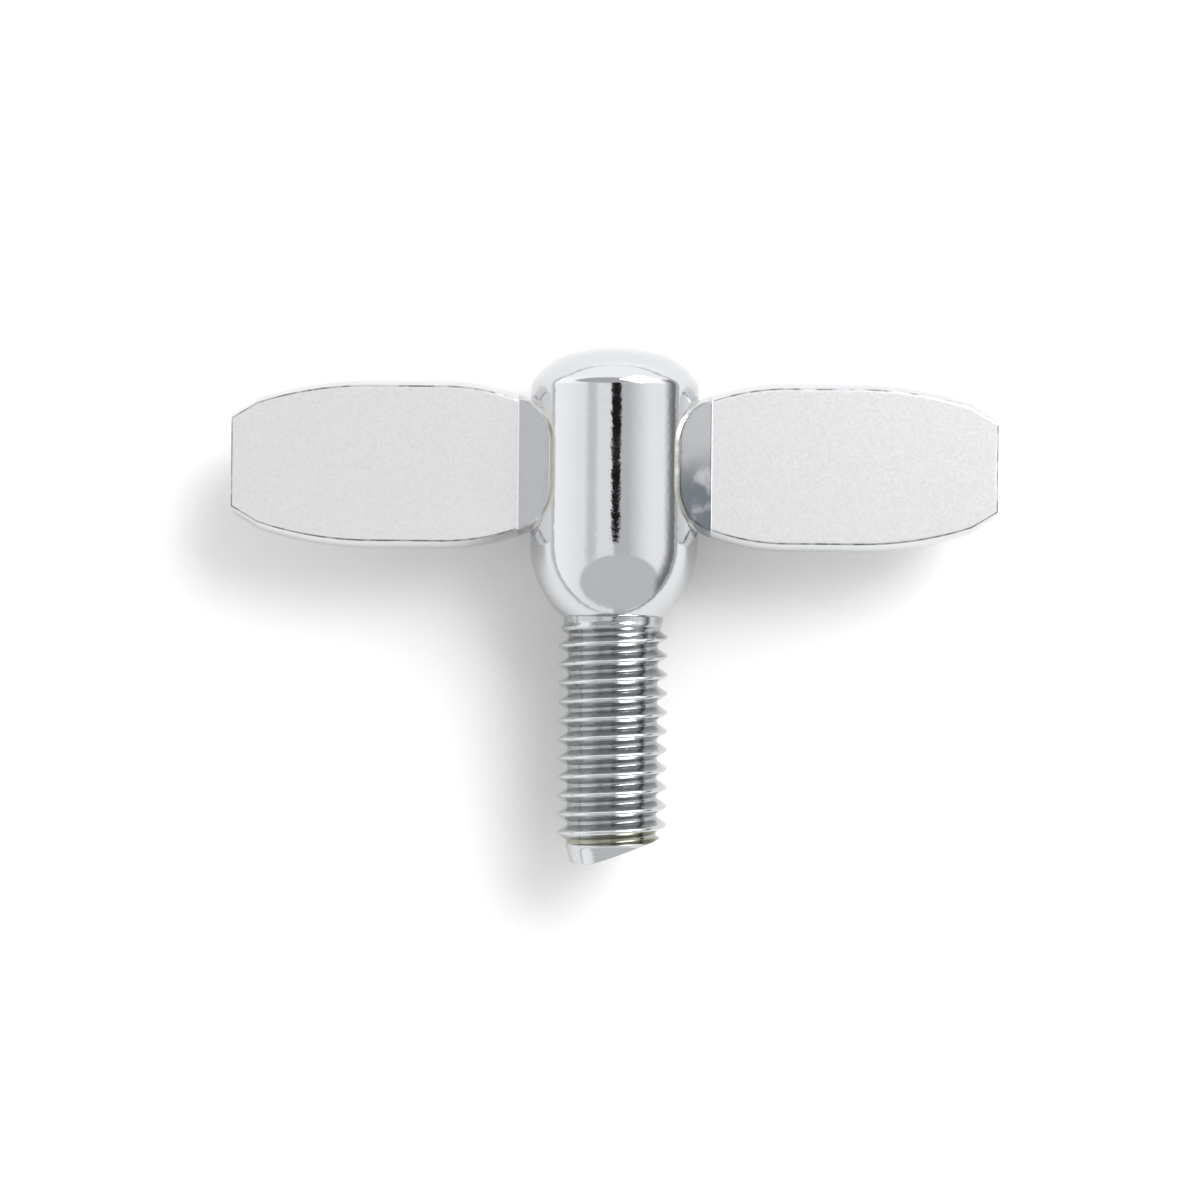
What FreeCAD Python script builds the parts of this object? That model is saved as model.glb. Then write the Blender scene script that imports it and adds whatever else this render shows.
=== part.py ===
import FreeCAD, Part
import math
import os

import Sketcher
from types import SimpleNamespace

# A wing screw with an M6 x 13 stud, in millimetres.
#
# The screw lies on its side. X runs along the wings, +Y runs along the screw's axis towards the domed
# top, so that the stud points along -Y, and +Z is up, square to the wings' flat faces. The origin is on
# the screw's axis, in the plane of the hub's underside, where the stud leaves the hub.

DIMENSIONS = {
    # the turned hub
    "hub_radius": 4.5,
    "hub_height": 14.5,
    "dome_rise": 2.1,
    "dome_shoulder_radius": 3.35,
    "dome_shoulder_out": 2.7,
    "dome_shoulder_drop": 0.49,
    "bowl_height": 3.9,
    "bowl_radius": 5.28,
    "bowl_foot_radius": 2.78,
    "socket_radius": 2.0,
    "socket_floor": 2.0,
    "bore_radius": 2.2,
    "bore_depth": 5.4,
    # the wings
    "wing_height": 8.05,
    "wing_reach": 20.4,
    "blade_half_width": 4.5,
    "blade_thickness": 2.4,
    "blade_start": 4.4,
    "blade_full_from": 9.2,
    "blade_full_to": 13.0,
    "blade_inner_radius": 12.0,
    "blade_outer_radius": 19.4,
    "corner_start": 19.0,
    "corner_half_width": 3.55,
    "tip_half_width": 2.7,
    "rim_inset": 0.38,
    "rim_depth": 0.95,
    "root_half_width": 3.5,
    "root_half_height": 3.15,
    "root_corner_radius": 2.4,
    "root_end": 6.0,
    "ramp_top": 3.37,
    "ramp_foot": 5.13,
    "spigot_gap": 0.1,
    # the filler metal
    "fillet_size": 0.16,
    "fillet_slope": 0.12,
    "ring_width": 0.5,
    "ring_dish": 0.08,
    # the stud
    "thread_radius": 2.94,
    "thread_pitch": 1.0,
    "neck_radius": 2.65,
    "neck_length": 0.75,
    "stud_length": 13.15,
    "tip_chamfer": 0.75,
    "inner_chamfer": 0.4,
    "groove_bottom_radius": 2.4,
    "groove_bottom_half": 0.09,
    "groove_mouth_radius": 3.1,
    "groove_mouth_half": 0.49,
    "groove_start": 13.6,
    "groove_rise": 12.9,
}

# Two coordinates closer than this are the same.
TOLERANCE = 1e-6

# The crest is made of short patches, so the blank's wall is drawn as this many arcs.
BLANK_ARCS = 11

doc = FreeCAD.newDocument("wing_screw")


class Size:
    """A length as a number, together with the sheet expression that drives it."""

    def __init__(self, value, text):
        self.value = value
        self.text = text

    def __add__(self, other):
        return Size(self.value + other.value, f"({self.text} + {other.text})")

    def __sub__(self, other):
        return Size(self.value - other.value, f"({self.text} - {other.text})")

    def __mul__(self, factor):
        return Size(self.value * factor, f"({self.text} * {factor})")

    def __neg__(self):
        return self * -1


def make_sheet():
    """Write the driving dimensions into a sheet, and return them as sizes."""
    sheet = doc.addObject("Spreadsheet::Sheet", "dimensions")
    for row, (alias, value) in enumerate(DIMENSIONS.items(), start=1):
        sheet.set(f"A{row}", alias.replace("_", " "))
        sheet.set(f"B{row}", str(value))
        sheet.setAlias(f"B{row}", alias)
    doc.recompute()
    sizes = {name: Size(float(sheet.get(name)), f"dimensions.{name}") for name in DIMENSIONS}
    return SimpleNamespace(**sizes)


def new_body(name):
    body = doc.addObject("PartDesign::Body", name)
    body.Label = name
    return body


def new_sketch(body, name, role, offset=None):
    """A sketch on one of the body's own origin planes, or at an offset from it."""
    sketch = body.newObject("Sketcher::SketchObject", f"{body.Name}_{name}")
    plane = next(feature for feature in body.Origin.OriginFeatures if feature.Role == role)
    sketch.AttachmentSupport = [(plane, "")]
    sketch.MapMode = "FlatFace"
    if offset is not None:
        sketch.setExpression("AttachmentOffset.Base.z", offset.text)
    return sketch


def drive(sketch, kind, geometry, size):
    """Add one dimension to a sketch and bind it to the sheet."""
    index = sketch.addConstraint(Sketcher.Constraint(kind, *geometry, size.value))
    sketch.setExpression(f"Constraints[{index}]", size.text)


def place_point(sketch, edge, end, along, up):
    """Fix a point of an edge at two distances from the sketch's origin; None means on the axis."""
    if along is None:
        sketch.addConstraint(Sketcher.Constraint("PointOnObject", edge, end, -2))
    else:
        drive(sketch, "DistanceX", (-1, 1, edge, end), along)
    if up is None:
        sketch.addConstraint(Sketcher.Constraint("PointOnObject", edge, end, -1))
    else:
        drive(sketch, "DistanceY", (-1, 1, edge, end), up)


def arc_between(start, end, radius, turn):
    """The short arc from start to end, counter-clockwise if turn is 1 and clockwise if it is -1.

    An arc with no radius has its centre on the sketch's vertical axis.
    """
    chord = end - start
    middle = (start + end) / 2
    square_to_chord = FreeCAD.Vector(-chord.y, chord.x, 0).normalize()
    if radius is None:
        centre = middle - square_to_chord * (middle.x / square_to_chord.x)
        radius = (start - centre).Length
    else:
        centre = middle + square_to_chord * (turn * math.sqrt(radius ** 2 - chord.Length ** 2 / 4))
    first, last = (start, end) if turn > 0 else (end, start)
    from_angle = math.atan2(first.y - centre.y, first.x - centre.x)
    to_angle = math.atan2(last.y - centre.y, last.x - centre.x)
    return Part.ArcOfCircle(Part.Circle(centre, FreeCAD.Vector(0, 0, 1), radius), from_angle, to_angle)


def outline(sketch, points, arcs=None):
    """A closed outline through the points. arcs maps a point's index to the radius and turn of its arc."""
    arcs = arcs or {}
    corners = [FreeCAD.Vector(x.value if x else 0, y.value if y else 0, 0) for x, y in points]
    edges = []
    for index, start in enumerate(corners):
        end = corners[(index + 1) % len(corners)]
        if index in arcs:
            radius, turn = arcs[index]
            edge = sketch.addGeometry(arc_between(start, end, radius and radius.value, turn))
            ends = (1, 2) if turn > 0 else (2, 1)
        else:
            edge = sketch.addGeometry(Part.LineSegment(start, end))
            ends = (1, 2)
        edges.append((edge, *ends))
    for index, (edge, _, last) in enumerate(edges):
        following, first, _ = edges[(index + 1) % len(edges)]
        sketch.addConstraint(Sketcher.Constraint("Coincident", edge, last, following, first))
    for (edge, first, _), (along, up) in zip(edges, points):
        place_point(sketch, edge, first, along, up)
    for index, (radius, _) in arcs.items():
        if radius is None:
            sketch.addConstraint(Sketcher.Constraint("PointOnObject", edges[index][0], 3, -2))
        else:
            drive(sketch, "Radius", (edges[index][0],), radius)


def circle(sketch, radius, along=None):
    """A circle with its centre on the sketch's horizontal axis."""
    middle = FreeCAD.Vector(along.value if along else 0, 0, 0)
    ring = sketch.addGeometry(Part.Circle(middle, FreeCAD.Vector(0, 0, 1), radius.value))
    place_point(sketch, ring, 3, along, None)
    drive(sketch, "Radius", (ring,), radius)


def circle_of_arcs(sketch, radius):
    """A circle round the origin, drawn as equal arcs that meet end to end."""
    whole = Part.Circle(FreeCAD.Vector(), FreeCAD.Vector(0, 0, 1), radius.value)
    step = 2 * math.pi / BLANK_ARCS
    arcs = [
        sketch.addGeometry(Part.ArcOfCircle(whole, number * step, (number + 1) * step))
        for number in range(BLANK_ARCS)
    ]
    for arc, following in zip(arcs, arcs[1:] + arcs[:1]):
        sketch.addConstraint(Sketcher.Constraint("Coincident", arc, 2, following, 1))
    for arc in arcs[:-1]:
        sketch.addConstraint(Sketcher.Constraint("Coincident", arc, 3, -1, 1))
    sketch.addConstraint(Sketcher.Constraint("Equal", arcs[0], arcs[-1]))
    drive(sketch, "Radius", (arcs[0],), radius)


def rounded_rectangle(sketch, middle, half_long, half_high, corner):
    """A rectangle with round corners, its middle on the horizontal axis."""
    left, right = middle - half_long, middle + half_long
    outline(
        sketch,
        [
            (left + corner, -half_high),
            (right - corner, -half_high),
            (right, corner - half_high),
            (right, half_high - corner),
            (right - corner, half_high),
            (left + corner, half_high),
            (left, half_high - corner),
            (left, corner - half_high),
        ],
        {index: (corner, 1) for index in (1, 3, 5, 7)},
    )


def extrude(body, name, sketch, length, cut=False, both_ways=False, reverse=False, refine=True):
    """A pad or a pocket whose length is bound to the sheet."""
    kind = "PartDesign::Pocket" if cut else "PartDesign::Pad"
    feature = body.newObject(kind, f"{body.Name}_{name}")
    feature.Profile = sketch
    feature.setExpression("Length", length.text)
    feature.SideType = "Symmetric" if both_ways else "One side"
    feature.Reversed = reverse
    feature.Refine = refine
    before = 0 if body.Shape.isNull() else body.Shape.Volume
    doc.recompute()
    changed = feature.Shape.Volume - before
    if (changed >= 0) if cut else (changed <= 0):
        raise RuntimeError(f"{feature.Name} changes the volume by {changed:.4f}")
    return feature


def revolve(body, name, sketch):
    """A full turn of the sketch about the screw's axis."""
    feature = body.newObject("PartDesign::Revolution", f"{body.Name}_{name}")
    feature.Profile = sketch
    feature.ReferenceAxis = (sketch, ["V_Axis"])
    feature.Angle = 360
    doc.recompute()
    return feature


def chamfer(body, name, base, is_edge, size, other_size=None):
    """A bevel on the edges of the base that is_edge accepts. It is equal unless other_size is given."""
    feature = body.newObject("PartDesign::Chamfer", f"{body.Name}_{name}")
    edges = enumerate(base.Shape.Edges, start=1)
    chosen = [f"Edge{number}" for number, edge in edges if is_edge(edge)]
    feature.Base = (base, chosen)
    feature.setExpression("Size", size.text)
    if other_size is not None:
        feature.ChamferType = "Two distances"
        feature.FlipDirection = True
        feature.setExpression("Size2", other_size.text)
    doc.recompute()
    return feature


def make_hub(d):
    """The turned hub: dome, barrel and bowl, with a blind bore below and a socket for each wing."""
    body = new_body("hub")
    turned = new_sketch(body, "turned", "XY_Plane")
    edge_of_dome = d.hub_height - d.dome_rise
    outline(
        turned,
        [
            (None, None),
            (d.bowl_foot_radius, None),
            (d.hub_radius, d.bowl_height),
            (d.hub_radius, edge_of_dome),
            (d.dome_shoulder_out, d.hub_height - d.dome_shoulder_drop),
            (None, d.hub_height),
        ],
        {
            1: (d.bowl_radius, 1),
            3: (d.dome_shoulder_radius, 1),
            4: (None, 1),
        },
    )
    revolve(body, "barrel", turned)

    bore = new_sketch(body, "bore_outline", "XZ_Plane")
    circle(bore, d.bore_radius)
    extrude(body, "bore", bore, d.bore_depth, cut=True)

    mouth = new_sketch(body, "mouth_outline", "XY_Plane")
    outline(
        mouth,
        [(d.bore_radius, None), (d.bore_radius + d.ring_width, None), (d.bore_radius, d.ring_width)],
    )
    countersink = body.newObject("PartDesign::Groove", "hub_countersink")
    countersink.Profile = mouth
    countersink.ReferenceAxis = (mouth, ["V_Axis"])
    countersink.Angle = 360
    doc.recompute()

    for side, name in ((1, "right"), (-1, "left")):
        socket = new_sketch(body, f"{name}_socket_outline", "YZ_Plane", d.socket_floor * side)
        circle(socket, d.socket_radius, d.wing_height)
        extrude(body, f"{name}_socket", socket, d.hub_radius, cut=True, reverse=side > 0)
    return body


def make_wing(d, name, side):
    """A paddle with a thick root. Ramps lead from the root to the blade, and a spigot enters the hub."""
    body = new_body(name)
    half_thickness = d.blade_thickness * 0.5

    plan = new_sketch(body, "plan", "XY_Plane")
    steps = [
        (d.blade_start, d.root_half_width),
        (d.blade_full_from, d.blade_half_width),
        (d.blade_full_to, d.blade_half_width),
        (d.corner_start, d.corner_half_width),
        (d.wing_reach, d.tip_half_width),
    ]
    lower = [(along * side, d.wing_height - half) for along, half in steps]
    upper = [(along * side, d.wing_height + half) for along, half in reversed(steps)]
    outline(
        plan,
        lower + upper,
        {
            0: (d.blade_inner_radius, side),
            2: (d.blade_outer_radius, side),
            6: (d.blade_outer_radius, side),
            8: (d.blade_inner_radius, side),
        },
    )
    blade = extrude(body, "blade", plan, d.blade_thickness, both_ways=True)

    def round_a_flat_face(edge):
        return all(abs(abs(vertex.Z) - half_thickness.value) < TOLERANCE for vertex in edge.Vertexes)

    chamfer(body, "rim", blade, round_a_flat_face, d.rim_inset, d.rim_depth)

    section = new_sketch(body, "root_section", "YZ_Plane")
    rounded_rectangle(section, d.wing_height, d.root_half_width, d.root_half_height, d.root_corner_radius)
    extrude(body, "root", section, d.root_end, reverse=side < 0)

    ramps = new_sketch(body, "ramp_outlines", "XZ_Plane")
    above = d.root_half_height + d.blade_thickness
    beyond = d.root_end + d.blade_thickness
    for up in (1, -1):
        outline(
            ramps,
            [
                (d.ramp_foot * side, half_thickness * up),
                (d.ramp_top * side, d.root_half_height * up),
                (d.ramp_top * side, above * up),
                (beyond * side, above * up),
                (beyond * side, half_thickness * up),
            ],
        )
    extrude(body, "ramps", ramps, d.wing_reach * 2, cut=True, both_ways=True)

    saddle = new_sketch(body, "saddle_outline", "XZ_Plane")
    circle(saddle, d.hub_radius)
    extrude(body, "saddle", saddle, d.wing_reach * 2, cut=True, both_ways=True)

    spigot_end = d.socket_floor + d.spigot_gap
    spigot = new_sketch(body, "spigot_outline", "YZ_Plane", spigot_end * side)
    circle(spigot, d.socket_radius, d.wing_height)
    extrude(body, "spigot", spigot, d.hub_radius - d.socket_floor, reverse=side < 0)
    return body


def make_wing_braze(d, name, side):
    """The collar of filler metal in the corner between a wing's root and the hub."""
    body = new_body(name)
    outer_radius = d.hub_radius + d.fillet_size

    grown = new_sketch(body, "grown_section", "YZ_Plane")
    rounded_rectangle(
        grown,
        d.wing_height,
        d.root_half_width + d.fillet_size,
        d.root_half_height + d.fillet_size,
        d.root_corner_radius + d.fillet_size,
    )
    extrude(body, "block", grown, outer_radius, reverse=side < 0)

    around = new_sketch(body, "around_outline", "XZ_Plane")
    circle(around, outer_radius)
    circle(around, outer_radius * 2)
    extrude(body, "around", around, d.hub_height * 2, cut=True, both_ways=True)

    hub = new_sketch(body, "hub_outline", "XZ_Plane")
    circle(hub, d.hub_radius)
    block = extrude(body, "hub", hub, d.hub_height * 2, cut=True, both_ways=True)

    def round_the_outside(edge):
        middle = edge.valueAt((edge.FirstParameter + edge.LastParameter) / 2)
        return abs(math.hypot(middle.x, middle.z) - outer_radius.value) < TOLERANCE

    chamfer(body, "slope", block, round_the_outside, d.fillet_slope)

    root = new_sketch(body, "root_section", "YZ_Plane")
    rounded_rectangle(root, d.wing_height, d.root_half_width, d.root_half_height, d.root_corner_radius)
    extrude(body, "root", root, outer_radius, cut=True, reverse=side > 0)
    return body


def make_stud_braze(d):
    """The ring of filler metal in the countersunk mouth of the hub's bore. It sets slightly dished."""
    body = new_body("stud_braze_ring")
    section = new_sketch(body, "section", "XY_Plane")
    outline(
        section,
        [
            (d.bore_radius, d.ring_dish),
            (d.bore_radius + d.ring_width, None),
            (d.bore_radius, d.ring_width),
        ],
    )
    revolve(body, "ring", section)
    return body


def make_stud(d):
    """The stud: a smooth end in the hub's bore, a short plain neck, then the rolled thread."""
    body = new_body("threaded_stud")

    wall = new_sketch(body, "blank_outline", "XZ_Plane")
    circle_of_arcs(wall, d.thread_radius)
    extrude(body, "blank", wall, d.stud_length, refine=False)

    tip = new_sketch(body, "tip_outline", "XY_Plane")
    outline(
        tip,
        [
            (d.thread_radius - d.tip_chamfer, -d.stud_length),
            (d.thread_radius + d.tip_chamfer, -d.stud_length),
            (d.thread_radius + d.tip_chamfer, d.tip_chamfer * 2 - d.stud_length),
        ],
    )
    neck = new_sketch(body, "neck_outline", "XY_Plane")
    outline(
        neck,
        [
            (d.neck_radius, None),
            (d.neck_radius, -d.neck_length),
            (d.groove_mouth_radius, -d.neck_length - (d.groove_mouth_radius - d.neck_radius)),
            (d.groove_mouth_radius, None),
        ],
    )
    for sketch, name in ((tip, "tip"), (neck, "neck")):
        turned = body.newObject("PartDesign::Groove", f"threaded_stud_{name}")
        turned.Profile = sketch
        turned.ReferenceAxis = (sketch, ["V_Axis"])
        turned.Angle = 360
        turned.Refine = False
        doc.recompute()

    groove = new_sketch(body, "groove_section", "XY_Plane")
    middle = -d.groove_start
    outline(
        groove,
        [
            (d.groove_bottom_radius, middle - d.groove_bottom_half),
            (d.groove_mouth_radius, middle - d.groove_mouth_half),
            (d.groove_mouth_radius, middle + d.groove_mouth_half),
            (d.groove_bottom_radius, middle + d.groove_bottom_half),
        ],
    )
    thread = body.newObject("PartDesign::SubtractiveHelix", "threaded_stud_thread")
    thread.Profile = groove
    thread.ReferenceAxis = (groove, ["V_Axis"])
    thread.Mode = "pitch-height-angle"
    thread.setExpression("Pitch", d.thread_pitch.text)
    thread.setExpression("Height", d.groove_rise.text)
    thread.LeftHanded = False
    thread.Refine = False
    doc.recompute()

    inner = new_sketch(body, "inner_outline", "XZ_Plane")
    circle(inner, d.bore_radius)
    length = d.bore_depth - d.spigot_gap * 2
    end = extrude(body, "inner_end", inner, length, reverse=True, refine=False)

    def round_the_inner_end(edge):
        return all(abs(vertex.Y - length.value) < TOLERANCE for vertex in edge.Vertexes)

    lead = chamfer(body, "lead", end, round_the_inner_end, d.inner_chamfer)
    lead.Refine = False
    return body


def check_and_export(bodies):
    """Stop at anything that failed to compute, then write each piece to its own file."""
    doc.recompute()
    for item in doc.Objects:
        if "Invalid" in item.State or "Error" in item.State:
            raise RuntimeError(f"{item.Name} failed: {item.State}")
    for body in bodies:
        if body.Shape.isNull() or not body.Shape.isValid():
            raise RuntimeError(f"{body.Label} has no valid shape")
        body.Shape.exportStep(f"parts/{body.Label}.step")
        print(f"{body.Label}: {body.Shape.Volume:.3f} mm3, {len(body.Shape.Solids)} solid")


def main():
    os.makedirs("parts", exist_ok=True)
    d = make_sheet()
    bodies = [
        make_hub(d),
        make_wing(d, "right_wing", 1),
        make_wing(d, "left_wing", -1),
        make_wing_braze(d, "right_braze_fillet", 1),
        make_wing_braze(d, "left_braze_fillet", -1),
        make_stud_braze(d),
        make_stud(d),
    ]
    check_and_export(bodies)


main()
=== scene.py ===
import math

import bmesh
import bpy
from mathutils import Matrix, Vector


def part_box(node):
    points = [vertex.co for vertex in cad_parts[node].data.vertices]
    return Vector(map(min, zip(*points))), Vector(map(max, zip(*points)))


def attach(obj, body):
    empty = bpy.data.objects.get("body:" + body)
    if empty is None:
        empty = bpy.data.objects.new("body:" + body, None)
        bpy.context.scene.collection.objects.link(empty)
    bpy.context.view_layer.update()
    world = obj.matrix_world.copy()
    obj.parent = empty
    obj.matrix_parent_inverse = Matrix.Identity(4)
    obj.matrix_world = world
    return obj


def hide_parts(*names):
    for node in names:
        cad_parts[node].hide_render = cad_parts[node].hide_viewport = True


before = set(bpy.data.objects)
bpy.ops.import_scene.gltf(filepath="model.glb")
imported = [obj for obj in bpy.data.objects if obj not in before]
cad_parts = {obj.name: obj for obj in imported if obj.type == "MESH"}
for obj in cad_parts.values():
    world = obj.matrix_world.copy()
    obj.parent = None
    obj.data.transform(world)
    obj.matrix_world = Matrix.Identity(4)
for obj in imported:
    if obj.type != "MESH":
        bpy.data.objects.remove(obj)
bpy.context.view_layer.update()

# A chrome-plated wing screw. It lies flat on a pale surface, lit by a soft key light and seen from above.
# X runs along the wings, Y along the screw's axis towards the dome, Z up. Lengths of the object are in
# millimetres. The key light's distance, size and power are in Blender's own units.

MM = 0.001

# ---- sizes read from the frame ----
hub_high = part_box("hub")[1]
stud_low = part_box("threaded_stud")[0]
wing_low, wing_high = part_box("right_wing")
blade_low = wing_low.y / MM
blade_high = wing_high.y / MM
HUB_RADIUS = hub_high.x / MM
HUB_TOP = hub_high.y / MM
STUD_END = stud_low.y / MM
WING_REACH = wing_high.x / MM
BLADE_HALF_WIDTH = (blade_high - blade_low) / 2
WING_HEIGHT = (blade_high + blade_low) / 2
FLOOR = -HUB_RADIUS

# ---- the hub ----
BOWL_TOP = 3.9
BOWL_RADIUS = 5.28
BOWL_FOOT = 2.78
DOME_BOTTOM = 12.4
DOME_EDGE_RADIUS = 0.85
DOME_EDGE_TURN = math.radians(27)
SHOULDER_RADIUS = 3.35
SHOULDER_OUT = 2.7
SHOULDER_DROP = 0.49
BORE_RADIUS = 2.7
BORE_FLOOR = 0.6
HUB_SIDES = 256

# ---- the wings ----
WING_START = 2.6
HALF_THICKNESS = 1.2
RIM_INSET = 0.38
ROOT_HALF_WIDTH = 3.5
ROOT_HALF_HEIGHT = 3.15
ROOT_CORNER = 2.4
RAMP_TOP = 3.37
RAMP_FOOT = 5.13
BLADE_START = 4.4
BLADE_FULL_FROM = 9.2
BLADE_FULL_TO = 13.0
BLADE_INNER_RADIUS = 12.0
BLADE_OUTER_RADIUS = 19.4
CORNER_START = 19.0
CORNER_HALF_WIDTH = 3.55
TIP_HALF_WIDTH = 2.7
ARRIS = 0.06
TIP_ARRIS = 0.08
CORNER_SPREAD = 0.07
NICK_DEPTH = 0.02
NICK_WIDTH = 0.006
ARRIS_INSIDE = 0.055
ARRIS_OUTSIDE = 0.03
RING_EDGE_POINTS = 12
RING_FLAT_POINTS = 24

# ---- the braze at the wings' roots ----
FILLET_SIZE = 0.15
FILLET_STEPS = 8
FILLET_SIDES = 192
SUNK = 0.01

# ---- the stud ----
PITCH = 1.0
CREST_RADIUS = 2.94
ROOT_RADIUS = 2.4
NECK_RADIUS = 2.65
CREST_AT = -1.1
FLANK_SLOPE = math.tan(math.radians(60))
CREST_HALF = 0.07
CREST_BLEND = 0.12
ROOT_BLEND = 0.14
THREAD_FROM = -0.2
THREAD_FULL = -1.1
TIP_FROM = -12.1
TIP_START_RADIUS = 2.5
TIP_RADIUS = 2.2
STUD_TOP = 0.3
CROP_START = -1.1
CROP_SLOPE = 0.36
STAIN_BOTTOM = -12.05
STAIN_TOP = -11.68
ROWS_PER_PITCH = 28
STUD_SIDES = 160

# ---- the camera and the light ----
VIEW_WIDTH = 64.2
VIEW_CENTRE = (-0.72, 0.87)
VIEW_TURN = 0.5
LENS = 100.0
SENSOR = 36.0
KEY_DIRECTION = Vector((0.80, 0.90, 1.0)).normalized()
KEY_DISTANCE = 0.5
KEY_SIZE = 0.35
KEY_POWER = 2.6
ROOM_BRIGHTNESS = 1.39

# ---- the floor ----
BOARD_EVEN_TO = 42.0
BOARD_DIM_FROM = 85.0
BOARD_SIZE = 1500.0


def smooth_least(a, b, blend):
    """The lesser of two lengths, rounded where they cross."""
    near = max(blend - abs(a - b), 0.0) / blend
    return min(a, b) - near * near * blend / 4


def smooth_most(a, b, blend):
    return -smooth_least(-a, -b, blend)


def ease(start, end, value):
    """0 before start, 1 after end, smooth between."""
    part = min(max((value - start) / (end - start), 0.0), 1.0)
    return part * part * (3 - 2 * part)


def add_mesh(name, points, faces, material):
    """A smoothly shaded piece from points in millimetres."""
    mesh = bpy.data.meshes.new(name)
    mesh.from_pydata([(x * MM, y * MM, z * MM) for x, y, z in points], [], faces)
    mesh.update()
    piece = bpy.data.objects.new(name, mesh)
    bpy.context.scene.collection.objects.link(piece)
    work = bmesh.new()
    work.from_mesh(mesh)
    bmesh.ops.recalc_face_normals(work, faces=work.faces)
    work.to_mesh(mesh)
    work.free()
    for polygon in mesh.polygons:
        polygon.use_smooth = True
    mesh.materials.append(material)
    return piece


def join_loops(count, sides, around=False):
    """Quads between loops of points that follow each other, and back to the first loop if around."""
    faces = []
    for loop in range(count if around else count - 1):
        here = loop * sides
        there = (loop + 1) % count * sides
        for side in range(sides):
            after = (side + 1) % sides
            faces.append((here + side, here + after, there + after, there + side))
    return faces


def shade_flat(piece, faces):
    for number in faces:
        piece.data.polygons[number].use_smooth = False


# ---------------------------------------------------------------- materials


class Nodes:
    """A short way to write a node tree."""

    def __init__(self, tree):
        self.tree = tree
        tree.nodes.clear()

    def add(self, kind, **inputs):
        node = self.tree.nodes.new(kind)
        for name, value in inputs.items():
            self.plug(node.inputs[name.replace("_", " ")], value)
        return node

    def plug(self, socket, value):
        if isinstance(value, bpy.types.NodeSocket):
            self.tree.links.new(value, socket)
        else:
            socket.default_value = value

    def calc(self, operation, a, b=0.0):
        node = self.tree.nodes.new("ShaderNodeMath")
        node.operation = operation
        self.plug(node.inputs[0], a)
        self.plug(node.inputs[1], b)
        return node.outputs[0]

    def vector(self, operation, a, b=(0.0, 0.0, 0.0)):
        node = self.tree.nodes.new("ShaderNodeVectorMath")
        node.operation = operation
        self.plug(node.inputs[0], a)
        self.plug(node.inputs[1], b)
        return node

    def step(self, value, start, end, low=0.0, high=1.0):
        """low before start, high after end, smooth between."""
        node = self.tree.nodes.new("ShaderNodeMapRange")
        node.interpolation_type = "SMOOTHSTEP"
        for socket, given in zip(node.inputs, (value, start, end, low, high)):
            self.plug(socket, given)
        return node.outputs[0]

    def mix(self, amount, first, second):
        node = self.tree.nodes.new("ShaderNodeMix")
        node.data_type = "RGBA"
        self.plug(node.inputs[0], amount)
        self.plug(node.inputs[6], first)
        self.plug(node.inputs[7], second)
        return node.outputs[2]

    def noise(self, place, scale, detail=3.0, stretch=(1.0, 1.0, 1.0)):
        """Noise whose features are about 1/scale millimetres across."""
        stretched = self.vector("MULTIPLY", place, tuple(1 / MM * part for part in stretch))
        node = self.add("ShaderNodeTexNoise", Vector=stretched.outputs[0], Scale=scale, Detail=detail)
        return node.outputs["Fac"]


def grey(value):
    return (value, value, value, 1.0)


def start_material(name):
    material = bpy.data.materials.new(name)
    material.use_nodes = True
    nodes = Nodes(material.node_tree)
    place = nodes.add("ShaderNodeTexCoord").outputs["Object"]
    return material, nodes, place


def finish_material(nodes, colour, roughness, bumps):
    """A metal surface. bumps are (height, depth in millimetres), coarse first."""
    normal = None
    for height, depth in bumps:
        bump = nodes.add("ShaderNodeBump", Height=height, Strength=1.0, Distance=depth * MM)
        if normal is not None:
            nodes.plug(bump.inputs["Normal"], normal)
        normal = bump.outputs[0]
    shader = nodes.add(
        "ShaderNodeBsdfPrincipled", Base_Color=colour, Metallic=1.0, Roughness=roughness, Normal=normal
    )
    output = nodes.add("ShaderNodeOutputMaterial")
    nodes.plug(output.inputs["Surface"], shader.outputs[0])


def hub_chrome():
    """Near-mirror plate over a turned and polished surface: faint ripple, fine pits and hairline marks."""
    material, nodes, place = start_material("hub_chrome")
    cloud = nodes.noise(place, 0.5)
    hairs = nodes.noise(place, 2.0, 4.0, (1.0, 14.0, 1.0))
    colour = nodes.mix(cloud, (0.565, 0.575, 0.597, 1), (0.60, 0.608, 0.623, 1))
    marks = nodes.calc("ADD", cloud, nodes.calc("MULTIPLY", hairs, 0.5))
    roughness = nodes.step(marks, 0.5, 1.0, 0.035, 0.085)
    ripple = nodes.noise(place, 0.35)
    pits = nodes.noise(place, 3.0)
    finish_material(nodes, colour, roughness, [(ripple, 0.010), (pits, 0.0055), (hairs, 0.0003)])
    return material


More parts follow.
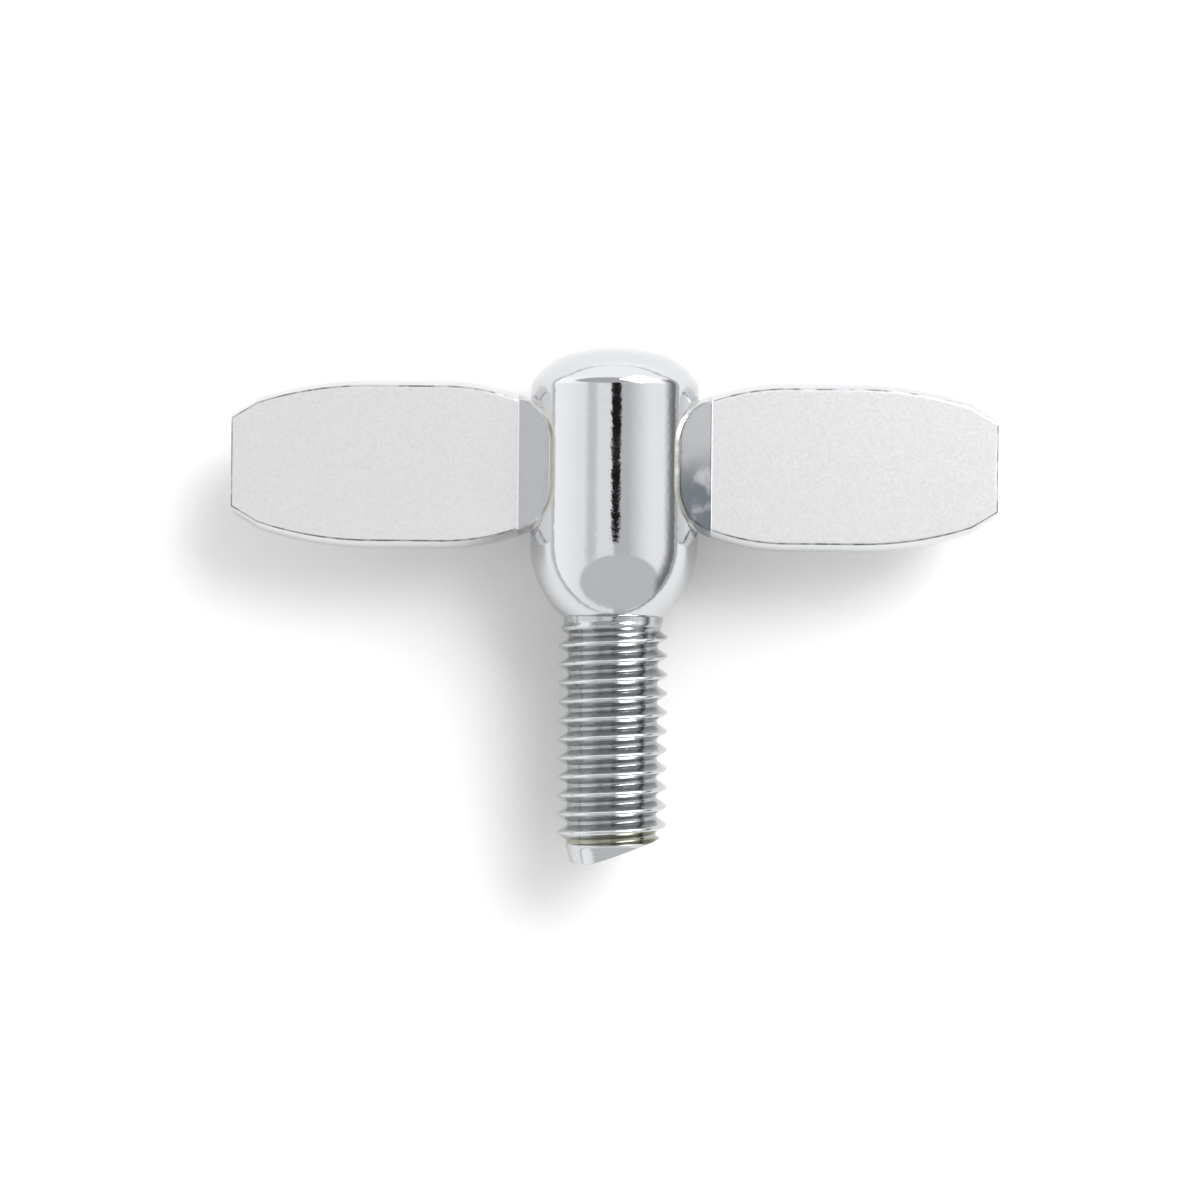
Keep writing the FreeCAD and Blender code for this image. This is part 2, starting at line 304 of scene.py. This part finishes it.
def wing_chrome():
    """Plate over a forging: finely blasted flats, with smooth ramps and bright rims round them.

    The ramps are coloured darker than the rims, the left one more so: painted shade. The lower part of the
    right-hand ramp is darkened further in uneven patches: a painted dark reflection."""
    material, nodes, place = start_material("wing_chrome")
    parts = nodes.add("ShaderNodeSeparateXYZ", Vector=place)
    out = nodes.calc("DIVIDE", nodes.calc("ABSOLUTE", parts.outputs["X"]), MM)
    up = nodes.calc("DIVIDE", nodes.calc("ABSOLUTE", parts.outputs["Z"]), MM)
    past_ramp = nodes.step(out, RAMP_FOOT - 0.03, RAMP_FOOT + 0.05)
    on_flat = nodes.calc("MULTIPLY", past_ramp, nodes.step(up, HALF_THICKNESS - 0.04, HALF_THICKNESS - 0.01))
    mottle = nodes.noise(place, 6.0, 5.0)
    cloud = nodes.noise(place, 0.4)
    bright = nodes.mix(cloud, (0.63, 0.64, 0.655, 1), (0.67, 0.677, 0.685, 1))
    on_ramp = nodes.calc("SUBTRACT", 1.0, past_ramp)
    on_right = nodes.step(parts.outputs["X"], 0.0, MM)
    # Painted shade: the ramps get a darker colour than the rims, and the left ramp a darker one than the
    # right.
    ramp = nodes.mix(on_right, (0.45, 0.46, 0.48, 1), (0.54, 0.55, 0.57, 1))
    bright = nodes.mix(on_ramp, bright, ramp)
    # Painted dark reflection: uneven dark patches of colour on the lower part of the right-hand ramp.
    blotchy = nodes.noise(place, 0.9, 4.0)
    height = nodes.calc("DIVIDE", parts.outputs["Y"], MM)
    low_down = nodes.step(height, WING_HEIGHT + 1.5, WING_HEIGHT - 1.5)
    painted_dark_reflection = nodes.calc("MULTIPLY", nodes.step(blotchy, 0.25, 0.52), low_down)
    on_right_ramp = nodes.calc("MULTIPLY", on_ramp, on_right)
    bright = nodes.mix(nodes.calc("MULTIPLY", painted_dark_reflection, on_right_ramp), bright, (0.19, 0.21, 0.23, 1))
    blasted = nodes.mix(nodes.step(mottle, 0.3, 0.7), (0.725, 0.725, 0.728, 1), (0.77, 0.77, 0.77, 1))
    colour = nodes.mix(on_flat, bright, blasted)
    smooth = nodes.step(cloud, 0.3, 0.7, 0.05, 0.11)
    rough = nodes.step(mottle, 0.3, 0.7, 0.38, 0.41)
    extra = nodes.calc("MULTIPLY", on_flat, nodes.calc("SUBTRACT", rough, smooth))
    roughness = nodes.calc("ADD", smooth, extra)
    waves = nodes.calc("MULTIPLY", blotchy, on_ramp)
    finish_material(nodes, colour, roughness, [(cloud, 0.002), (waves, 0.015), (mottle, 0.0004)])
    return material


def shaded_arris_chrome():
    """The thin line where the flats meet the rim, coloured dark in places: painted shade along the crease."""
    material, nodes, place = start_material("shaded_arris_chrome")
    patches = nodes.noise(place, 1.5, 4.0)
    # Painted shade: a dark, patchy colour along the crease.
    colour = nodes.mix(nodes.step(patches, 0.4, 0.6), (0.20, 0.205, 0.22, 1), (0.42, 0.43, 0.45, 1))
    finish_material(nodes, colour, nodes.step(patches, 0.3, 0.7, 0.25, 0.45), [(patches, 0.004)])
    return material


def shaded_fillet_chrome():
    """Plate over smooth filler metal, a little wavy and warmer than the rest. Its colour is also darker than
    the rest: painted shade in the corner where the wing meets the hub.
    """
    material, nodes, place = start_material("shaded_fillet_chrome")
    cloud = nodes.noise(place, 1.2)
    # The warm tint is the filler's own; the darker colour is painted shade.
    colour = nodes.mix(cloud, (0.36, 0.36, 0.335, 1), (0.47, 0.47, 0.44, 1))
    roughness = nodes.step(cloud, 0.35, 0.65, 0.18, 0.30)
    finish_material(nodes, colour, roughness, [(cloud, 0.02), (nodes.noise(place, 6.0), 0.0015)])
    return material


def thread_chrome():
    """Thin plate on the rolled thread: bright crests, rougher grooves coloured darker as painted shade, a
    stain in the last groove.
    """
    material, nodes, place = start_material("thread_chrome")
    parts = nodes.add("ShaderNodeSeparateXYZ", Vector=place)
    across = nodes.vector("MULTIPLY", place, (1 / MM, 0.0, 1 / MM)).outputs[0]
    radius = nodes.vector("LENGTH", across).outputs["Value"]
    along = nodes.calc("DIVIDE", parts.outputs["Y"], MM)
    grain = nodes.noise(place, 5.0, 4.0, (1.0, 3.0, 1.0))
    above_tip = nodes.step(along, TIP_FROM - 0.05, TIP_FROM + 0.05)
    in_groove = nodes.calc("MULTIPLY", above_tip, nodes.step(radius, ROOT_RADIUS, CREST_RADIUS, 1.0, 0.0))
    blotchy = nodes.mix(grain, (0.48, 0.50, 0.51, 1), (0.64, 0.655, 0.665, 1))
    # Painted shade: the grooves above the tip get a darker colour than the crests.
    painted_groove_shade = nodes.mix(grain, (0.26, 0.275, 0.28, 1), (0.42, 0.435, 0.44, 1))
    colour = nodes.mix(in_groove, blotchy, painted_groove_shade)
    above_bottom = nodes.step(along, STAIN_BOTTOM, STAIN_BOTTOM + 0.08)
    below_top = nodes.step(along, STAIN_TOP, STAIN_TOP - 0.10)
    near_end = nodes.calc("MULTIPLY", above_bottom, below_top)
    stained = nodes.calc("MULTIPLY", near_end, nodes.step(grain, 0.3, 0.5, 0.4, 1.0))
    colour = nodes.mix(stained, colour, (0.30, 0.29, 0.21, 1))
    plain = nodes.step(grain, 0.3, 0.7, 0.03, 0.08)
    roughness = nodes.calc("ADD", plain, nodes.calc("MULTIPLY", in_groove, 0.06))
    finish_material(nodes, colour, roughness, [(nodes.noise(place, 1.6), 0.012), (grain, 0.0035)])
    return material


def braze_metal():
    """Bare filler metal, dulled, in the mouth of the bore."""
    material, nodes, place = start_material("braze_metal")
    cloud = nodes.noise(place, 2.0)
    colour = nodes.mix(cloud, (0.55, 0.42, 0.20, 1), (0.70, 0.57, 0.32, 1))
    finish_material(nodes, colour, nodes.step(cloud, 0.3, 0.7, 0.3, 0.5), [(cloud, 0.02)])
    return material


def floor_paper():
    """Matt white board with the faintest tooth, darker far to either side and darkest on the right."""
    material, nodes, place = start_material("floor_paper")
    tooth = nodes.noise(place, 4.0, 4.0)
    bump = nodes.add("ShaderNodeBump", Height=tooth, Strength=0.3, Distance=0.03 * MM)
    board = nodes.mix(tooth, (0.825, 0.825, 0.818, 1), (0.845, 0.845, 0.838, 1))
    parts = nodes.add("ShaderNodeSeparateXYZ", Vector=place)
    away = nodes.calc("DIVIDE", nodes.calc("ABSOLUTE", parts.outputs["X"]), MM)
    on_right = nodes.step(parts.outputs["X"], 0.0, MM)
    far = nodes.mix(on_right, (0.60, 0.605, 0.61, 1), (0.38, 0.385, 0.39, 1))
    colour = nodes.mix(nodes.step(away, BOARD_EVEN_TO, BOARD_DIM_FROM), board, far)
    shader = nodes.add(
        "ShaderNodeBsdfPrincipled",
        Base_Color=colour,
        Roughness=0.85,
        Specular_IOR_Level=0.0,
        Normal=bump.outputs[0],
    )
    output = nodes.add("ShaderNodeOutputMaterial")
    nodes.plug(output.inputs["Surface"], shader.outputs[0])
    return material


# ---------------------------------------------------------------- hub


def arc_points(start, end, radius, steps):
    """Points on the outward-bulging arc of that radius from start to end, both included."""
    (ax, ay), (bx, by) = start, end
    half = math.hypot(bx - ax, by - ay) / 2
    rise = math.sqrt(radius * radius - half * half)
    ux, uy = (bx - ax) / half / 2, (by - ay) / half / 2
    cx, cy = (ax + bx) / 2 - uy * rise, (ay + by) / 2 + ux * rise
    first = math.atan2(ay - cy, ax - cx)
    turn = 2 * math.asin(half / radius)
    return [
        (cx + radius * math.cos(first + turn * i / steps), cy + radius * math.sin(first + turn * i / steps))
        for i in range(steps + 1)
    ]


def hub_outline():
    """Radius and height from the floor of the bore, down to the underside and up to the top of the dome."""
    bowl = arc_points((BOWL_FOOT, 0.0), (HUB_RADIUS, BOWL_TOP), BOWL_RADIUS, 40)
    shoulder = arc_points(
        (HUB_RADIUS, DOME_BOTTOM), (SHOULDER_OUT, HUB_TOP - SHOULDER_DROP), SHOULDER_RADIUS, 40
    )
    crown_radius = (SHOULDER_OUT**2 + SHOULDER_DROP**2) / (2 * SHOULDER_DROP)
    crown = arc_points((SHOULDER_OUT, HUB_TOP - SHOULDER_DROP), (0.0, HUB_TOP), crown_radius, 24)
    barrel = [(HUB_RADIUS, BOWL_TOP + (DOME_BOTTOM - BOWL_TOP) * i / 24) for i in range(1, 24)]
    sharp = bowl + barrel + shoulder + crown[1:]
    return [(BORE_RADIUS, BORE_FLOOR), (BORE_RADIUS, 0.0)] + soften(sharp, DOME_BOTTOM, DOME_EDGE_RADIUS)


def soften(outline, corner_height, radius):
    """Replace the corner of the outline at that height by a smooth turn of about that radius."""
    number = min(range(len(outline)), key=lambda i: abs(outline[i][1] - corner_height))
    corner = outline[number]
    reach = radius * math.tan(DOME_EDGE_TURN / 2)
    before = [p for p in outline[:number] if p[1] < corner_height - reach]
    after = [
        p for p in outline[number + 1 :] if math.hypot(p[0] - HUB_RADIUS, p[1] - corner_height) > reach
    ]
    start = (HUB_RADIUS, corner_height - reach)
    end = after[0]
    middle = []
    steps = 12
    for i in range(steps + 1):
        part = i / steps
        by_start = (1 - part) ** 2
        by_corner = 2 * part * (1 - part)
        by_end = part * part
        radius_here = by_start * start[0] + by_corner * corner[0] + by_end * end[0]
        height_here = by_start * start[1] + by_corner * corner[1] + by_end * end[1]
        middle.append((radius_here, height_here))
    return before + middle + after[1:]


def make_hub(material):
    rings = hub_outline()
    points = []
    for radius, height in rings[:-1]:
        for side in range(HUB_SIDES):
            turn = 2 * math.pi * side / HUB_SIDES
            points.append((radius * math.cos(turn), height, radius * math.sin(turn)))
    faces = join_loops(len(rings) - 1, HUB_SIDES)
    points.append((0.0, HUB_TOP, 0.0))
    last = (len(rings) - 2) * HUB_SIDES
    faces += [(last + i, last + (i + 1) % HUB_SIDES, len(points) - 1) for i in range(HUB_SIDES)]
    faces.append(tuple(range(HUB_SIDES)))
    hub = add_mesh("hub_skin", points, faces, material)
    bore_wall = range(HUB_SIDES)
    shade_flat(hub, [*bore_wall, len(faces) - 1])
    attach(hub, "root")
    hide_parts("hub")


# ---------------------------------------------------------------- wings


def half_width(out):
    """Half the blade's width at that distance from the screw's axis."""
    root = (BLADE_START, ROOT_HALF_WIDTH)
    full_from = (BLADE_FULL_FROM, BLADE_HALF_WIDTH)
    full_to = (BLADE_FULL_TO, BLADE_HALF_WIDTH)
    tip_corner = (CORNER_START, CORNER_HALF_WIDTH)
    if out <= BLADE_START:
        return ROOT_HALF_WIDTH
    if out < BLADE_FULL_FROM:
        return on_arc(out, root, full_from, BLADE_INNER_RADIUS)
    if out <= BLADE_FULL_TO:
        return BLADE_HALF_WIDTH
    if out < CORNER_START:
        return on_arc(out, full_to, tip_corner, BLADE_OUTER_RADIUS)
    part = (out - CORNER_START) / (WING_REACH - CORNER_START)
    return CORNER_HALF_WIDTH + (TIP_HALF_WIDTH - CORNER_HALF_WIDTH) * min(part, 1.0)


def on_arc(out, start, end, radius):
    """Height at that distance on the arc from start to end that bulges upwards."""
    half = math.hypot(end[0] - start[0], end[1] - start[1]) / 2
    rise = math.sqrt(radius * radius - half * half)
    ux, uy = (end[0] - start[0]) / half / 2, (end[1] - start[1]) / half / 2
    cx = (start[0] + end[0]) / 2 + uy * rise
    cy = (start[1] + end[1]) / 2 - ux * rise
    return cy + math.sqrt(radius * radius - (out - cx) ** 2)


def ramp_height(out):
    """Half the height of the wing's flat or ramp at that distance from the axis."""
    part = (out - RAMP_TOP) / (RAMP_FOOT - RAMP_TOP)
    sloped = ROOT_HALF_HEIGHT + (HALF_THICKNESS - ROOT_HALF_HEIGHT) * part
    return smooth_least(ROOT_HALF_HEIGHT, smooth_most(HALF_THICKNESS, sloped, ARRIS), ARRIS * 2)


def to_rounded_rectangle(direction, half_y, half_z, corner):
    """Distance from the centre to a rounded rectangle, in that direction."""
    cy, cz = abs(direction[0]), abs(direction[1])
    flat_y = half_y / max(cy, 1e-9)
    if flat_y * cz <= half_z - corner:
        return flat_y
    flat_z = half_z / max(cz, 1e-9)
    if flat_z * cy <= half_y - corner:
        return flat_z
    along = cy * (half_y - corner) + cz * (half_z - corner)
    off = (half_y - corner) ** 2 + (half_z - corner) ** 2 - corner * corner
    return along + math.sqrt(along * along - off)


def to_bulged_edge(direction, width):
    """Distance from the centre to the blade's bulged long edge, in that direction."""
    bulge = (HALF_THICKNESS**2 + RIM_INSET**2) / (2 * RIM_INSET)
    middle = width - bulge
    along = abs(direction[0]) * middle
    under = along * along - middle * middle + bulge * bulge
    reach = along + math.sqrt(max(under, 0.0))
    on_the_bulge = under > 0 and reach * abs(direction[0]) > middle
    return reach if on_the_bulge else width * 10


def wing_ring(out, shrink):
    """One closed loop of the wing's surface, with most points where the flat meets the edge."""
    width = half_width(out)
    height = ramp_height(out)
    ramp_side = ROOT_HALF_WIDTH - ROOT_CORNER + math.sqrt(
        max(ROOT_CORNER**2 - max(height - ROOT_HALF_HEIGHT + ROOT_CORNER, 0.0) ** 2, 0.0)
    )
    flat_side = width - RIM_INSET if height <= HALF_THICKNESS + ARRIS else ramp_side
    corner = math.atan2(height, max(flat_side, 0.6))
    below = corner - CORNER_SPREAD
    above = corner + CORNER_SPREAD
    edge = RING_EDGE_POINTS
    flat = RING_FLAT_POINTS
    quarter = (
        [below * i / edge for i in range(edge)]
        + [corner + CORNER_SPREAD * (i / edge) ** 3 for i in range(-edge, edge)]
        + [above + (math.pi / 2 - above) * i / flat for i in range(flat)]
    )
    angles = quarter + [math.pi - a for a in reversed(quarter[1:])]
    angles.insert(len(quarter), math.pi / 2)
    angles = angles + [math.pi] + [-a for a in reversed(angles[1:])]
    ring = []
    for angle in angles:
        direction = (math.cos(angle), math.sin(angle))
        up = max(abs(direction[1]), 1e-9)
        root = smooth_least(
            to_rounded_rectangle(direction, ROOT_HALF_WIDTH, ROOT_HALF_HEIGHT, ROOT_CORNER),
            height / up,
            ARRIS * 2,
        )
        blade = smooth_least(HALF_THICKNESS / up, to_bulged_edge(direction, width), ARRIS)
        if out > RAMP_FOOT + ARRIS:
            reach = blade
        else:
            reach = max(root, blade)
        off_corner = abs(math.atan2(up, abs(direction[0])) - corner) / NICK_WIDTH
        nick = NICK_DEPTH * math.exp(-off_corner * off_corner)
        reach -= shrink + nick
        ring.append((WING_HEIGHT + direction[0] * reach, direction[1] * reach))
    return ring


def is_on_arris(point):
    """Is the point on the line where a flat meets the rim or the tip?"""
    out = abs(point.x)
    off_rim = abs(point.y - WING_HEIGHT) - (half_width(out) - RIM_INSET)
    off_tip = out - (WING_REACH - TIP_ARRIS)
    near_rim = -ARRIS_INSIDE < off_rim < ARRIS_OUTSIDE
    near_tip = off_rim < ARRIS_OUTSIDE and -ARRIS_INSIDE < off_tip < TIP_ARRIS - 0.01
    return out > RAMP_FOOT + 0.1 and abs(point.z) > HALF_THICKNESS / 2 and (near_rim or near_tip)


def wing_stations():
    """Distances from the axis where the wing's surface is cut into loops, close together at its bends."""
    bends = [
        (WING_START, RAMP_TOP - 0.2, 6),
        (RAMP_TOP - 0.2, RAMP_TOP + 0.2, 8),
        (RAMP_TOP + 0.2, RAMP_FOOT - 0.15, 14),
        (RAMP_FOOT - 0.15, RAMP_FOOT + 0.15, 12),
        (RAMP_FOOT + 0.15, BLADE_FULL_FROM, 30),
        (BLADE_FULL_FROM, BLADE_FULL_TO, 8),
        (BLADE_FULL_TO, CORNER_START - 0.15, 24),
        (CORNER_START - 0.15, CORNER_START + 0.15, 6),
        (CORNER_START + 0.15, WING_REACH - TIP_ARRIS, 8),
    ]
    stations = []
    for start, end, steps in bends:
        stations += [(start + (end - start) * i / steps, 0.0) for i in range(steps)]
    for i in range(6):
        turn = math.pi / 2 * i / 5
        stations.append((WING_REACH - TIP_ARRIS * (1 - math.sin(turn)), TIP_ARRIS * (1 - math.cos(turn))))
    return stations


def make_wing(name, node, side, material, arris):
    points = []
    stations = wing_stations()
    for out, shrink in stations:
        ring = wing_ring(out, shrink)
        points += [(out * side, y, z) for y, z in ring]
    sides = len(ring)
    faces = join_loops(len(stations), sides)
    last = (len(stations) - 1) * sides
    faces.append(tuple(range(last, last + sides)))
    faces.append(tuple(range(sides)))
    wing = add_mesh(name, points, faces, material)
    wing.data.materials.append(arris)
    for polygon in wing.data.polygons:
        if is_on_arris(polygon.center / MM):
            polygon.material_index = 1
    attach(wing, "root")
    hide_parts(node)


# ---------------------------------------------------------------- braze


def fillet_ring(out_of_hub, off_root):
    """A loop round the wing's root, that far out of the hub and that far off the root."""
    ring = []
    for i in range(FILLET_SIDES):
        angle = 2 * math.pi * i / FILLET_SIDES
        direction = (math.cos(angle), math.sin(angle))
        reach = off_root + to_rounded_rectangle(
            direction, ROOT_HALF_WIDTH, ROOT_HALF_HEIGHT, ROOT_CORNER
        )
        y = direction[0] * reach
        z = direction[1] * reach
        radius = HUB_RADIUS + out_of_hub
        ring.append((math.sqrt(max(radius * radius - z * z, 0.0)), WING_HEIGHT + y, z))
    return ring


def make_fillet(name, node, side, material):
    """A collar with a hollow slope outside. Its edges and inner corner are sunk in the hub and the root."""
    section = []
    for step in range(FILLET_STEPS + 1):
        turn = math.pi / 2 * step / FILLET_STEPS
        out = FILLET_SIZE * (1 - math.sin(turn)) - SUNK
        off = FILLET_SIZE * (1 - math.cos(turn)) - SUNK
        section.append((out, off))
    section.append((-SUNK * 2, -SUNK * 2))
    points = []
    for out, off in section:
        points += [(x * side, y, z) for x, y, z in fillet_ring(out, off)]
    faces = join_loops(len(section), FILLET_SIDES, around=True)
    fillet = add_mesh(name, points, faces, material)
    shade_flat(fillet, range(FILLET_STEPS * FILLET_SIDES, len(faces)))
    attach(fillet, "root")
    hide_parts(node)


# ---------------------------------------------------------------- stud


def thread_radius(row_height, height):
    """Radius of the thread's surface. row_height is along the helix, height along the axis."""
    off_crest = abs((row_height - CREST_AT + PITCH / 2) % PITCH - PITCH / 2)
    flank = CREST_RADIUS - (off_crest - CREST_HALF) * FLANK_SLOPE
    thread = smooth_most(ROOT_RADIUS, smooth_least(CREST_RADIUS, flank, CREST_BLEND), ROOT_BLEND)
    formed = ease(THREAD_FROM, THREAD_FULL, height)
    radius = NECK_RADIUS + (thread - NECK_RADIUS) * formed
    run_out = CREST_RADIUS + (TIP_START_RADIUS - CREST_RADIUS) * ease(TIP_FROM + 0.35, TIP_FROM - 0.2, height)
    taper = min(max((TIP_FROM - height) / (TIP_FROM - STUD_END), 0.0), 1.0)
    radius = min(radius, run_out)
    tip = TIP_START_RADIUS + (TIP_RADIUS - TIP_START_RADIUS) * taper
    return radius + (tip - radius) * ease(TIP_FROM + 0.1, TIP_FROM - 0.3, height)


def make_stud(material):
    """The thread is one strip that winds down the stud, so its crests run along its rows.

    The strip starts above the stud's top and ends below its tip, and the ends are cut off."""
    points = []
    top = STUD_TOP + 1.2
    turns = (top - STUD_END) / PITCH + 2.5
    rows = int(turns * ROWS_PER_PITCH)
    for row in range(rows):
        row_height = top - row / ROWS_PER_PITCH * PITCH
        for side in range(STUD_SIDES):
            part = side / STUD_SIDES
            height = row_height - PITCH * part
            radius = thread_radius(row_height, height)
            turn = 2 * math.pi * part
            points.append((radius * math.cos(turn), height, radius * math.sin(turn)))
    faces = []
    for row in range(rows - 1):
        for side in range(STUD_SIDES):
            here = row * STUD_SIDES + side
            if side + 1 < STUD_SIDES:
                faces.append((here, here + 1, here + 1 + STUD_SIDES, here + STUD_SIDES))
            elif row + 1 + ROWS_PER_PITCH < rows:
                first = (row + ROWS_PER_PITCH) * STUD_SIDES
                faces.append((here, first, first + STUD_SIDES, here + STUD_SIDES))
    stud = add_mesh("rolled_stud", points, faces, material)
    cut_end(stud.data, (0.0, STUD_TOP, 0.0), (0.0, 1.0, 0.0))
    cut_end(stud.data, (0.0, STUD_END, 0.0), (0.0, -1.0, 0.0))
    cut_end(stud.data, (CROP_START, STUD_END, 0.0), (CROP_SLOPE, -1.0, 0.0))
    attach(stud, "root")
    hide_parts("threaded_stud")


def cut_end(mesh, point, outward):
    """Cut off everything beyond a plane, and close the cut."""
    work = bmesh.new()
    work.from_mesh(mesh)
    result = bmesh.ops.bisect_plane(
        work,
        geom=work.verts[:] + work.edges[:] + work.faces[:],
        plane_co=Vector(point) * MM,
        plane_no=Vector(outward).normalized(),
        clear_outer=True,
        dist=1e-9,
    )
    edges = [item for item in result["geom_cut"] if isinstance(item, bmesh.types.BMEdge)]
    filled = bmesh.ops.contextual_create(work, geom=edges)
    for face in filled["faces"]:
        face.smooth = False
    bmesh.ops.recalc_face_normals(work, faces=work.faces)
    work.to_mesh(mesh)
    work.free()


# ---------------------------------------------------------------- studio


def make_floor(material):
    ways = [(-1, -1), (1, -1), (1, 1), (-1, 1)]
    corners = [(x * BOARD_SIZE, y * BOARD_SIZE, FLOOR) for x, y in ways]
    floor = add_mesh("floor", corners, [(0, 1, 2, 3)], material)


def make_camera():
    data = bpy.data.cameras.new("camera")
    data.lens = LENS
    data.sensor_width = SENSOR
    distance = VIEW_WIDTH * LENS / SENSOR
    camera = bpy.data.objects.new("camera", data)
    camera.location = (VIEW_CENTRE[0] * MM, VIEW_CENTRE[1] * MM, distance * MM)
    camera.rotation_euler = (0.0, 0.0, math.radians(VIEW_TURN))
    data.clip_start = 0.01
    data.clip_end = 10.0
    bpy.context.scene.collection.objects.link(camera)
    bpy.context.scene.camera = camera


def make_key_light():
    data = bpy.data.lights.new("key", "AREA")
    data.shape = "SQUARE"
    data.size = KEY_SIZE
    data.energy = KEY_POWER
    key = bpy.data.objects.new("key", data)
    key.location = KEY_DIRECTION * KEY_DISTANCE
    key.rotation_euler = KEY_DIRECTION.to_track_quat("Z", "Y").to_euler()
    key.visible_camera = False
    bpy.context.scene.collection.objects.link(key)


def make_room():
    """The light from all round: pale walls, dark and grey shapes overhead, a dark strip low on the right.

    Each direction is placed by the slope that a mirror needs to show it from above, from 0 overhead
    to 0.707 at the horizon. across runs along X and along runs along Y."""
    world = bpy.data.worlds.new("room")
    bpy.context.scene.world = world
    world.use_nodes = True
    nodes = Nodes(world.node_tree)
    direction = nodes.add("ShaderNodeTexCoord").outputs["Generated"]
    halfway = nodes.vector("ADD", direction, (0.0, 0.0, 1.0)).outputs[0]
    slope = nodes.vector("NORMALIZE", halfway).outputs[0]
    parts = nodes.add("ShaderNodeSeparateXYZ", Vector=slope)
    across, along = parts.outputs["X"], parts.outputs["Y"]

    def patch(centre, half_size, softness):
        """1 inside an ellipse of slopes, 0 outside."""
        from_centre = nodes.vector("SUBTRACT", slope, (*centre, 0.0)).outputs[0]
        scaled = nodes.vector("MULTIPLY", from_centre, (1 / half_size[0], 1 / half_size[1], 0.0)).outputs[0]
        reach = nodes.vector("LENGTH", scaled).outputs["Value"]
        return nodes.step(reach, 1 - softness, 1 + softness, 1.0, 0.0)

    # The walls: brighter towards the right and the left, and brightest beyond the dome.
    right_wall = nodes.step(across, 0.08, 0.46, 0.50, 0.92)
    left_wall = nodes.step(across, -0.70, -0.25, 1.0, 0.83)
    is_left = nodes.step(across, -0.03, 0.03, 1.0, 0.0)
    value = nodes.mix(is_left, right_wall, left_wall)
    value = nodes.mix(nodes.step(along, 0.04, 0.14), value, grey(1.15))
    value = nodes.mix(nodes.step(along, 0.36, 0.46), value, grey(1.03))

    # Shapes against the walls, as (where, brightness, strength). The fourth is the grey shape that the hub
    # shows low on its front, and the last is the dark stripe down its barrel.
    layers = [
        (patch((-0.27, -0.05), (0.06, 0.22), 0.6), 0.60, 0.9),
        (patch((-0.08, 0.23), (0.38, 0.175), 0.12), 0.45, 1.0),
        (patch((0.10, -0.06), (0.09, 0.11), 0.15), 0.53, 1.0),
        (patch((0.07, -0.39), (0.48, 0.275), 0.06), 0.56, 1.0),
        (patch((0.015, 0.035), (0.057, 0.042), 0.12), 0.01, 1.0),
    ]
    for mask, brightness, strength in layers:
        value = nodes.mix(nodes.calc("MULTIPLY", mask, strength), value, grey(brightness))

    # The dark strip just above the horizon on the right.
    flat_slope = nodes.vector("MULTIPLY", slope, (1.0, 1.0, 0.0)).outputs[0]
    reach = nodes.vector("LENGTH", flat_slope).outputs["Value"]
    ring = nodes.calc("MULTIPLY", nodes.step(reach, 0.56, 0.68), nodes.step(reach, 0.8, 0.72))
    on_right = nodes.calc("MULTIPLY", nodes.step(across, 0.45, 0.55), nodes.step(along, 0.45, 0.3))
    value = nodes.mix(nodes.calc("MULTIPLY", ring, on_right), value, grey(0.20))

    # A plain grey, wherever the camera looks past the floor.
    seen = nodes.add("ShaderNodeLightPath").outputs["Is Camera Ray"]
    shown = nodes.mix(seen, value, grey(0.6))
    background = nodes.add("ShaderNodeBackground", Color=shown, Strength=ROOM_BRIGHTNESS)
    output = nodes.add("ShaderNodeOutputWorld")
    nodes.plug(output.inputs["Surface"], background.outputs[0])


def main():
    bpy.context.scene.view_settings.view_transform = "Standard"
    make_hub(hub_chrome())
    blades = wing_chrome()
    arris = shaded_arris_chrome()
    braze = shaded_fillet_chrome()
    for side_name, side in (("left", -1), ("right", 1)):
        make_wing(f"{side_name}_paddle", f"{side_name}_wing", side, blades, arris)
        make_fillet(f"{side_name}_root_fillet", f"{side_name}_braze_fillet", side, braze)
    make_stud(thread_chrome())
    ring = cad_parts["stud_braze_ring"]
    ring.data.materials.clear()
    ring.data.materials.append(braze_metal())
    make_floor(floor_paper())
    make_key_light()
    make_room()
    make_camera()


main()
